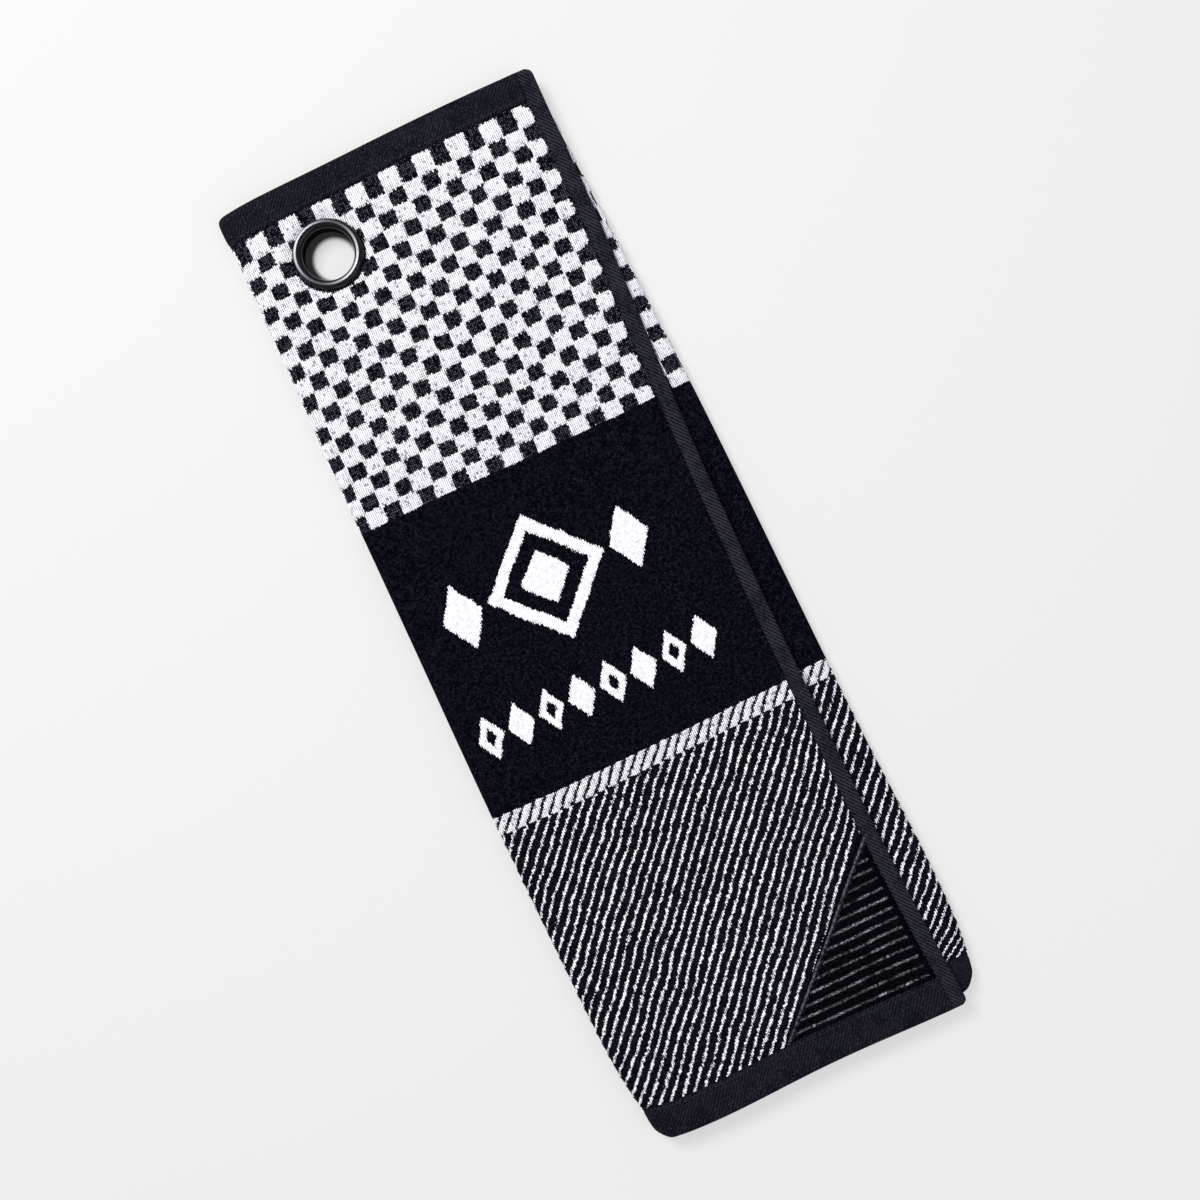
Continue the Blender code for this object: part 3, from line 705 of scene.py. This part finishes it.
FRONT_STRAIGHT = 312
FRONT_TURN = 16
BAND_EDGES = (
    ("check", CHECK_LOW, TOP_SEAM - SEAM_GAP),
    ("velour", SLASH_HIGH, CHECK_LOW),
    ("stripe", BOTTOM_SEAM + SEAM_GAP, SLASH_HIGH),
)
for seed, (band, low, high) in enumerate(BAND_EDGES):
    y = rows_between(low, high, LOOP_HEIGHT)
    path = front_path(y, FRONT_STRAIGHT, FRONT_TURN, SIDE_HEM + SEAM_GAP)
    face, back, marks, loops = pile_points(path, y, 2, seed + 20)
    cloth = cloth_mesh("front_" + band + "_cloth", face, back, 2, marks, loops, hole_blocks(face, 2))
    cloth.data.materials.append(pile_material)
    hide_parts("front_panel_cloth", "pinned_strip_cloth")
    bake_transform(cloth)
    path = lower_path(y, 156, 14, 170, 8, INNER_SEAM)
    face, back, marks, loops = pile_points(path, y, 1, seed + 30)
    cloth = cloth_mesh("lower_" + band + "_cloth", face, back, 2, marks, loops, hole_blocks(face, 2))
    cloth.data.materials.append(pile_material)
    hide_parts("back_panel_cloth", "inner_panel_cloth", "right_fold_cloth", "left_fold_cloth")
    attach(cloth, "folded_body")

# ----------------------------------------
# Hems: the towel's cut edges are turned under and sewn down as a band of black
# cotton twill, thicker at the fold and dented along the row of stitches.
HEM_ROUND = 1.35
HEM_THICKNESS = 2.45
HEM_PITCH = 0.8
FRONT_HEM_LENGTH = 130.0
STITCH_LINE = 1.7


def pillow(share, width, seam_dip=0.3):
    """Face and back heights of a hem from its seam (0) to its folded edge (1)."""
    turn = np.clip((share - 1.0) * width / HEM_ROUND + 1.0, 0.0, 1.0)
    fall = np.sqrt(np.clip(1.0 - turn * turn, 0.0, 1.0))
    dip = seam_dip * (1.0 - smooth(share * width, 0.0, 1.1))
    groove = 0.22 * np.exp(-(((share * width - STITCH_LINE) / 0.55) ** 2))
    belly = 0.16 * np.sin(np.clip(share, 0.0, 1.0) * math.pi)
    face = -HEM_ROUND + (HEM_ROUND - 0.1 + belly - dip - groove) * fall
    back = -HEM_ROUND - 0.03 - (HEM_THICKNESS - HEM_ROUND) * fall
    return face, back


def hem_points(path, y, face_height, back_height):
    """Face and back points of a hem laid along a path."""
    x = path["x"] + 0 * y
    wrinkle = 0.07 * soft_noise(x, y, 5.0, 31) + 0.05 * soft_noise(x, y, 2.2, 32)
    live = np.clip((face_height - back_height) / 2.0, 0.0, 1.0)
    offset = face_height - path["sink"] + wrinkle * live
    offset = np.minimum(offset, np.where(path["nz"] < -0.5, -0.03, 9.0))
    low = np.minimum(back_height - path["sink"] * 0.6, offset - 0.03)
    return lay_out(path, y, offset), lay_out(path, y, low)


def hem_shares(steps, turned):
    """Shares of a hem's width from its seam to its fold, close together where the cloth turns."""
    rounding = 1.0 - np.sin(np.linspace(0.12, 1.0, 6) * math.pi / 2)
    return np.concatenate([np.linspace(0.0, 1.0 - turned, steps), 1.0 - turned * rounding])


hem_material, tree, shader, place = blank_material("black_cotton_twill", 0.94, 0.04)
hem_place = split_weave(tree)
yarn_noise = fine_noise(place, 900.0)
diagonal = plus(times(hem_place["X"], 4.1), times(hem_place["Y"], 3.3))
diagonal = plus(diagonal, times(yarn_noise, 3.0))
twill_line = plus(times(maths("SINE", diagonal), 0.5), 0.5)
slub = fine_noise(place, 160.0, 3.0)
lint = ramp(fine_noise(place, 2200.0), 0.6, 0.78)
grain = fine_noise(place, 1300.0, 3.0)
hem_light = blend_colour(point_mark(tree, "lighter_tone_share"), (0.012, 0.012, 0.0185), (0.03, 0.03, 0.04))
hem_dark = blend_colour(ramp(twill_line, 0.1, 0.95), (0.0028, 0.0028, 0.0056), hem_light)
hem_worn = blend_colour(ramp(slub, 0.42, 0.66, 0.0, 0.62), hem_dark, (0.002, 0.002, 0.0048))
hem_worn = blend_colour(ramp(grain, 0.54, 0.66, 0.0, 0.55), hem_worn, (0.034, 0.034, 0.048))
hem_tone = blend_colour(times(lint, 0.25), hem_worn, (0.07, 0.07, 0.09))
hem_bump = plus(twill_line, times(yarn_noise, 0.8))
finish_surface(shader, hem_tone, hem_bump, 0.45, 0.00012)


def make_hem(name, face, back, weave_uv, lighter_tone_share, nodes):
    """Build one hem and hide the CAD nodes that it stands in for."""
    marks = {"lighter_tone_share": (lighter_tone_share + 0 * face[..., 0], lighter_tone_share + 0 * back[..., 0])}
    hem = cloth_mesh(name, face, back, 1, marks, weave_uv)
    hem.data.attributes.remove(hem.data.attributes["sharp_edge"])
    hem.data.materials.append(hem_material)
    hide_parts(*nodes)
    return hem


def end_hem(name, path, y, heights, nodes):
    """Build the top or bottom hem of the front panel or of the layers under it."""
    face, back = hem_points(path, y, *(height + 0 * path["x"] for height in heights))
    across, along = path["u"], y + 0 * path["u"]
    if y[-1, 0] < y[0, 0]:
        face, back, across, along = face[::-1], back[::-1], across[::-1], along[::-1]
    return make_hem(name, face, back, (across, along), 0.0, nodes)


for end_name, seam, end in (("top", TOP_SEAM, TOP_END), ("bottom", BOTTOM_SEAM, BOTTOM_END)):
    share = hem_shares(15, 0.12)[:, None]
    y = seam + (end - seam) * share
    width = abs(end - seam)
    heights = pillow(share, width)
    path = front_path(y, round(FRONT_HEM_LENGTH / HEM_PITCH), 8, SIDE_HEM + 0.04)
    nodes = ("front_" + end_name + "_hem", "pinned_strip_" + end_name + "_hem")
    lower_name = "lower_" + end_name + "_band"
    hem = end_hem("front_" + end_name + "_band", path, y, heights, nodes)
    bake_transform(hem)
    path = lower_path(y, 145, 12, 160, 6, INNER_SEAM)
    nodes = [part + end_name + "_hem" for part in ("back_", "left_fold_", "right_fold_", "inner_")]
    hem = end_hem(lower_name, path, y, heights, nodes)
    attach(hem, "folded_body")


def level_path(x, level, front=1.0):
    """Base points of a piece that lies flat at one level."""
    flat = 0 * x
    return {"x": x, "z": level + flat, "nx": flat, "nz": 1.0 + flat, "u": x, "sink": flat, "front": front}


for side_name, direction, radius, front in (("front", 1, LEFT_RADIUS, 1.0), ("inner", -1, RIGHT_RADIUS, 0.0)):
    y = rows_between(BOTTOM_END, TOP_END, LOOP_HEIGHT)
    share = hem_shares(8, 0.28)[None, :]
    outer_x = front_x(y) if direction > 0 else left_x(y) + INNER_EDGE
    path = level_path(outer_x - direction * SIDE_HEM * (1.0 - share), 2 * radius, front)
    face_height, back_height = pillow(share, SIDE_HEM, 0.25)
    end_turn = np.clip((abs(y) - TOP_END) / HEM_ROUND + 1.0, 0.0, 1.0)
    end_fall = np.sqrt(np.clip(1.0 - end_turn**2, 0.0, 1.0))
    face_height = -HEM_ROUND + (face_height + HEM_ROUND) * end_fall
    back_height = -HEM_ROUND - 0.03 + (back_height + HEM_ROUND + 0.03) * end_fall
    face, back = hem_points(path, y, face_height, back_height)
    if direction < 0:
        face, back = face[:, ::-1], back[:, ::-1]
    weave_uv = (path["x"], y + 0 * path["x"])
    name = side_name + "_side_band"
    nodes = (side_name + "_side_hem",)
    hem = make_hem(name, face, back, weave_uv, 1.0, nodes)
    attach(hem, "front_flap" if direction > 0 else "folded_body")

# ----------------------------------------
# Scrub patch: a right-angled triangle of coarse ribbed cloth let into the lower
# corner for scrubbing clubs, with a turned edge along its long side.
RIB_PITCH = 4.24
RIB_WIDTH = 1.15
RIB_HEIGHT = 0.62
PLY_WIDTH = 0.7
BEAD_LENGTH = 0.9
BEAD_WIDTH = 0.62
PATCH_LEVEL = 2 * LEFT_RADIUS - 0.55
PATCH_PITCH = 0.47
EDGE_WIDTH = 1.1


def patch_left(y):
    """Left end of the patch at height y."""
    apex = front_x(BOTTOM_SEAM) - SIDE_HEM - SEAM_GAP - 0.1
    return apex - PATCH_LEG + (y - BOTTOM_SEAM)


def patch_right(y):
    """Right end of the patch at height y."""
    return front_x(y) - SIDE_HEM - 0.35


ribbed_material, tree, shader, place = blank_material("ribbed_scrub_cloth", 0.5, 0.03)
rib_mark = point_mark(tree, "white")
rib_place = split_weave(tree)
bead_x = maths("SINE", times(rib_place["X"], 2 * math.pi / BEAD_LENGTH))
bead_y = maths("SINE", times(rib_place["Y"], 2 * math.pi / BEAD_WIDTH))
rib_uv = add_node(tree, "ShaderNodeUVMap", uv_map="weave").outputs["UV"]
strand = fine_noise(vectors("MULTIPLY", rib_uv, (0.85, 3.2, 1.0)), 1.0, 3.0)
rib_tone = blend_colour(rib_mark, (0.0006, 0.0006, 0.0022), (0.005, 0.005, 0.0085))
# Painted highlight: bright glints along the rib crests, stronger in some patches than in others.
glint = times(ramp(strand, 0.44, 0.62), ramp(rib_mark, 0.25, 0.8))
glint_patchiness = fine_noise(place, 130.0)
glint = times(glint, ramp(glint_patchiness, 0.38, 0.62, 0.35, 1.0))
rib_tone = blend_colour(glint, rib_tone, (0.46, 0.46, 0.52))
dust = times(ramp(fine_noise(place, 1500.0), 0.6, 0.76), 0.5)
rib_tone = blend_colour(dust, rib_tone, (0.03, 0.03, 0.045))
tree.links.new(ramp(rib_mark, 0.0, 1.0, 0.9, 0.42), shader.inputs["Roughness"])
rib_bump = plus(plus(times(bead_x, 0.5), times(bead_y, 0.3)), strand)
finish_surface(shader, rib_tone, rib_bump, 0.6, 0.00022)

y = rows_between(BOTTOM_SEAM + 0.35, BOTTOM_SEAM + PATCH_LEG - 0.9, PATCH_PITCH)
share = np.linspace(0.0, 1.0, 141)[None, :]
x = patch_left(y) + (patch_right(y) - patch_left(y)) * share
rng = np.random.default_rng(51)
phase = ((y - BOTTOM_SEAM - 2.6 + 0.3 * soft_noise(x, y, 11.0, 52)) / RIB_PITCH + 0.5) % 1.0 - 0.5
rib = np.clip(1.0 - abs(phase) * RIB_PITCH / RIB_WIDTH, 0.0, 1.0)
rib = rib * rib * (3 - 2 * rib)
ply = np.clip(1.0 - abs((phase + 0.86) % 1.0 - 0.5) * RIB_PITCH / PLY_WIDTH, 0.0, 1.0) * 0.42
rib = np.maximum(rib, ply * smooth(soft_noise(x, y, 4.0, 55), -0.4, 0.4))
broken = 0.72 + 0.28 * soft_noise(x, y, 1.3, 53) + 0.2 * soft_noise(x, y, 5.0, 54)
near_rim = smooth(x - patch_left(y), 0.6, 3.0) * smooth(patch_right(y) - x, 0.9, 2.4)
rib = rib * np.clip(broken, 0.0, 1.0) * near_rim
groove = smooth(patch_right(y) - x, 0.0, 0.9) * 0.35
path = level_path(x, PATCH_LEVEL)
face = lay_out(path, y, rib * RIB_HEIGHT + groove - 0.3 + 0.05 * (rng.random(x.shape) - 0.5))
back = lay_out(path, y, -0.62 + 0 * x)
patch = cloth_mesh("scrub_patch_cloth", face, back, 1, {"white": (rib, 0 * rib)}, (x, y + 0 * x))
patch.data.materials.append(ribbed_material)
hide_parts("scrub_patch")
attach(patch, "front_flap")

edge_material, tree, shader, place = blank_material("turned_patch_edge", 0.8, 0.1)
edge_grain = fine_noise(place, 900.0)
edge_tone = blend_colour(ramp(edge_grain, 0.35, 0.65), (0.01, 0.01, 0.016), (0.105, 0.105, 0.125))
finish_surface(shader, edge_tone, edge_grain, 0.5, 0.0002)

y = rows_between(BOTTOM_SEAM + 0.35, BOTTOM_SEAM + PATCH_LEG - 1.0, PATCH_PITCH)
share = np.linspace(-1.0, 1.0, 7)[None, :]
x = patch_left(y) + EDGE_WIDTH * 0.7 * share + 0.35
path = level_path(x, PATCH_LEVEL)
crown = np.sqrt(np.clip(1.0 - share**2, 0.0, 1.0))
face = lay_out(path, y, -0.1 + 0.75 * crown + 0.05 * soft_noise(x, y, 1.2, 61))
back = lay_out(path, y, -0.25 - 0.3 * crown + 0 * x)
edge = cloth_mesh("scrub_patch_turned_edge", face, back, 1, {"white": (0 * x, 0 * x)}, (x, y + 0 * x))
edge.data.materials.append(edge_material)
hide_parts("scrub_patch_edge")
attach(edge, "front_flap")

# ----------------------------------------
# Threads: the hems, the side of the flap and the patch are sewn with black
# polyester. Each stitch is a short strand that dips into the cloth at its ends.
STITCH_PITCH = 2.7
STITCH_LENGTH = 2.25
STITCH_WIDTH = 0.46
STITCH_DEPTH = 0.75
TACK_WIDTH = 3.8

thread_material, tree, shader, place = blank_material("black_sewing_thread", 0.6, 0.12)
twist = fine_noise(place, 1700.0)
thread_tone = blend_colour(ramp(twist, 0.35, 0.65), (0.006, 0.006, 0.0095), (0.028, 0.028, 0.038))
finish_surface(shader, thread_tone, twist, 0.5, 0.0001)

bpy.ops.object.select_all(action="DESELECT")
bpy.ops.mesh.primitive_uv_sphere_add(segments=8, ring_count=6, radius=STITCH_WIDTH / 2 * MM)
stitch = bpy.context.object
bpy.ops.object.mode_set(mode="EDIT")
bpy.ops.mesh.select_all(action="SELECT")
bpy.ops.transform.rotate(value=math.pi / 2, orient_axis="Y", center_override=(0.0, 0.0, 0.0))
stretch = (STITCH_LENGTH / STITCH_WIDTH, 1.0, STITCH_DEPTH)
bpy.ops.transform.resize(value=stretch, center_override=(0.0, 0.0, 0.0))
bpy.ops.object.mode_set(mode="OBJECT")
stitch_points = np.array([v.co[:] for v in stitch.data.vertices]) / MM
stitch_faces = [list(face.vertices) for face in stitch.data.polygons]
bpy.data.objects.remove(stitch)


def sew(name, route, height, nodes, body, length=STITCH_LENGTH):
    """Copy the stitch along a route of points and directions on the front panel."""
    points, faces = [], []
    for (x, y), (along_x, along_y) in route:
        shape = stitch_points * (length / STITCH_LENGTH, 1.0, 1.0)
        local_x = x + shape[:, 0] * along_x - shape[:, 1] * along_y
        local_y = y + shape[:, 0] * along_y + shape[:, 1] * along_x
        start = len(points) * len(stitch_points)
        points.append(lay_out(level_path(local_x, height + shape[:, 2]), local_y, 0.0))
        faces += [[corner + start for corner in face] for face in stitch_faces]
    mesh = bpy.data.meshes.new(name)
    mesh.from_pydata((np.concatenate(points) * MM).tolist(), [], faces)
    mesh.shade_smooth()
    mesh.materials.append(thread_material)
    row = bpy.data.objects.new(name, mesh)
    bpy.context.collection.objects.link(row)
    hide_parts(*nodes)
    if body:
        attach(row, body)
    return row


for end_name, row_y in (("top", TOP_SEAM + 1.6), ("bottom", BOTTOM_SEAM - 1.6)):
    first, last = left_x(row_y) + LEFT_RADIUS + 1.0, front_x(row_y) - SIDE_HEM - 1.5
    count = round((last - first) / STITCH_PITCH)
    route = [((first + (last - first) * (i + 0.5) / count, row_y), (1.0, 0.0)) for i in range(count)]
    nodes = ("pinned_strip_" + end_name + "_thread", "front_" + end_name + "_thread")
    row = sew(end_name + "_hem_stitches", route, 2 * LEFT_RADIUS - 0.22, nodes, None)
    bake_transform(row)

count = round((TOP_SEAM - BOTTOM_SEAM - 3.0) / STITCH_PITCH)
heights = [BOTTOM_SEAM + 1.5 + STITCH_PITCH * (i + 0.5) for i in range(count)]
route = [((float(front_x(y)) - SIDE_HEM + 1.5, y), (0.0, 1.0)) for y in heights]
sew("side_hem_stitches", route, 2 * LEFT_RADIUS - 0.2, ("front_side_thread",), "front_flap")

count = round(PATCH_LEG * math.sqrt(2) / STITCH_PITCH) - 2
slant = math.sqrt(0.5)
route = []
for i in range(count):
    y = BOTTOM_SEAM + (i + 1.0) * STITCH_PITCH * slant
    route.append(((patch_left(y) + 1.7, y), (slant, slant)))
sew("patch_stitches", route, 2 * LEFT_RADIUS - 0.42, ("scrub_patch_thread",), "front_flap", 1.7)

top_tack = (TOP_SEAM + 1.4, TOP_END - 1.6)
bottom_tack = (BOTTOM_END + 1.6, BOTTOM_SEAM - 1.4)
for end_name, (low, high) in (("top", top_tack), ("bottom", bottom_tack)):
    left = float(front_x((low + high) / 2)) - SIDE_HEM + 1.1
    right = left + TACK_WIDTH
    route = []
    for i in range(5):
        y = low + (high - low) * (i + 0.5) / 5
        route.append(((left, y), (0.0, 1.0)))
        route.append(((right, y), (0.0, 1.0)))
    for i in range(2):
        route.append(((left + 1.0 + 1.8 * i, low), (1.0, 0.0)))
        route.append(((left + 1.0 + 1.8 * i, high), (1.0, 0.0)))
    nodes = (end_name + "_corner_tack",)
    sew(end_name + "_corner_stitches", route, 2 * LEFT_RADIUS - 0.12, nodes, "front_flap", 1.6)

# ----------------------------------------
# Grommet: a two-part pressed brass eyelet in glossy black nickel. The face ring
# and its barrel are one pressing, rolled over the washer on the back. The bright
# line along the ring's crest is a painted highlight in its colour, brightest on two sides.
# The painted highlight line on the ring's crest: its radius, its shift off the axis, its soft edges, the
# heights it covers and the way of its two bright sides.
CREST_RADIUS = 12.35
HIGHLIGHT_SHIFT = (-0.45, 0.5)
CREST_FULL, CREST_GONE = 0.1, 0.72
CREST_LOW, CREST_HIGH = 8.6, 9.2
HIGHLIGHT_WAY = (0.7615, -0.648, 0.0)
BARREL_REACH = 10.6
BARREL_LOW, BARREL_HIGH = 0.8, 7.9
EYELET_PROFILE = (
    (14.0, 7.8), (14.05, 8.15), (13.75, 8.85), (13.25, 9.4), (12.7, 9.68), (12.1, 9.68), (11.4, 9.45),
    (10.8, 8.95), (10.4, 8.25), (10.27, 7.4), (10.25, 4.5), (10.25, 1.6), (10.35, 0.8), (10.75, 0.25),
    (11.4, 0.07), (12.15, 0.09), (12.38, 0.38), (12.0, 0.66), (11.4, 0.72), (11.05, 1.3), (10.98, 4.5),
    (11.0, 7.3), (11.35, 8.1), (12.0, 8.65), (12.8, 8.55), (13.3, 8.05), (13.45, 7.8),
)
WASHER_PROFILE = (
    (11.3, 0.98), (12.2, 0.95), (13.3, 0.98), (13.95, 1.15),
    (13.95, 1.42), (13.4, 1.58), (12.2, 1.6), (11.3, 1.55),
)


def spin_ring(name, profile, segments):
    """Model a metal ring by extruding a circle along its profile and bridging it closed."""
    bpy.ops.object.select_all(action="DESELECT")
    axis = (GROMMET_X * MM, GROMMET_Y * MM, profile[0][1] * MM)
    bpy.ops.mesh.primitive_circle_add(vertices=segments, radius=profile[0][0] * MM, location=axis)
    ring = bpy.context.object
    ring.name = name
    bpy.ops.object.mode_set(mode="EDIT")
    bpy.ops.mesh.select_all(action="SELECT")
    for (radius, height), (next_radius, next_height) in zip(profile, profile[1:]):
        bpy.ops.mesh.extrude_edges_move(
            TRANSFORM_OT_translate={"value": (0.0, 0.0, (next_height - height) * MM)}
        )
        scale = next_radius / radius
        bpy.ops.transform.resize(value=(scale, scale, 1.0), center_override=axis)
    bpy.ops.mesh.select_all(action="SELECT")
    bpy.ops.mesh.region_to_loop()
    bpy.ops.mesh.bridge_edge_loops()
    bpy.ops.mesh.select_all(action="SELECT")
    bpy.ops.mesh.normals_make_consistent(inside=False)
    bpy.ops.object.mode_set(mode="OBJECT")
    bpy.ops.object.transform_apply(location=True, rotation=True, scale=True)
    rounding = ring.modifiers.new("rounding", "SUBSURF")
    rounding.levels = 1
    rounding.render_levels = 1
    bpy.ops.object.modifier_apply(modifier=rounding.name)
    bpy.ops.object.shade_smooth()
    return ring


nickel_material, tree, shader, place = blank_material("black_nickel_plate", 0.12, 0.2)
plate_cloud = fine_noise(place, 120.0, 3.0)
plate_scuff = ramp(fine_noise(place, 1500.0, 3.0), 0.58, 0.72)
plate_tone = blend_colour(plate_cloud, (0.003, 0.0031, 0.0048), (0.006, 0.0062, 0.0088))
plate_tone = blend_colour(times(plate_scuff, 0.2), plate_tone, (0.03, 0.03, 0.036))
# Painted highlight: a thin bright ring along the crest, set a little off the axis towards the lamp and
# brightest on two opposite sides.
crest_spot = ((GROMMET_X + HIGHLIGHT_SHIFT[0]) * MM, (GROMMET_Y + HIGHLIGHT_SHIFT[1]) * MM, 0.0)
crest_way = vectors("SUBTRACT", place, crest_spot)
crest_way = vectors("MULTIPLY", crest_way, (1.0, 1.0, 0.0))
crest_reach = vectors("LENGTH", crest_way)
crest_gap = maths("ABSOLUTE", minus(crest_reach, CREST_RADIUS * MM))
crest_level = add_node(tree, "ShaderNodeSeparateXYZ", {0: place}).outputs["Z"]
crest_highlight = ramp(crest_gap, CREST_FULL * MM, CREST_GONE * MM, 1.0, 0.0)
crest_highlight = times(crest_highlight, ramp(crest_level, CREST_LOW * MM, CREST_HIGH * MM))
lighter_tone_share = vectors("DOT_PRODUCT", vectors("NORMALIZE", crest_way), HIGHLIGHT_WAY)
lighter_tone_share = times(lighter_tone_share, lighter_tone_share)
crest_highlight_tone = blend_colour(lighter_tone_share, (0.085, 0.088, 0.1), (0.62, 0.63, 0.67))
plate_tone = blend_colour(crest_highlight, plate_tone, crest_highlight_tone)
tree.links.new(ramp(plate_cloud, 0.3, 0.7, 0.09, 0.16), shader.inputs["Roughness"])
finish_surface(shader, plate_tone, plate_scuff, 0.08, 0.00002)

barrel_material, tree, shader, place = blank_material("dull_black_barrel", 0.75, 0.015)
barrel_wear = fine_noise(place, 700.0, 3.0)
barrel_share = ramp(barrel_wear, 0.35, 0.7)
barrel_tone = blend_colour(barrel_share, (0.001, 0.001, 0.0018), (0.0055, 0.0055, 0.0075))
finish_surface(shader, barrel_tone, barrel_wear, 0.15, 0.00003)

for name, profile, node in (
    ("eyelet_ring", EYELET_PROFILE, "grommet_eyelet"),
    ("washer_ring", WASHER_PROFILE, "grommet_washer"),
):
    ring = spin_ring(name, profile, 72)
    ring.data.materials.append(nickel_material)
    ring.data.materials.append(barrel_material)
    for face in ring.data.polygons:
        radius = math.hypot(face.center.x / MM - GROMMET_X, face.center.y / MM - GROMMET_Y)
        if radius < BARREL_REACH and BARREL_LOW < face.center.z / MM < BARREL_HIGH:
            face.material_index = 1
    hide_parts(node)
    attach(ring, "folded_body")
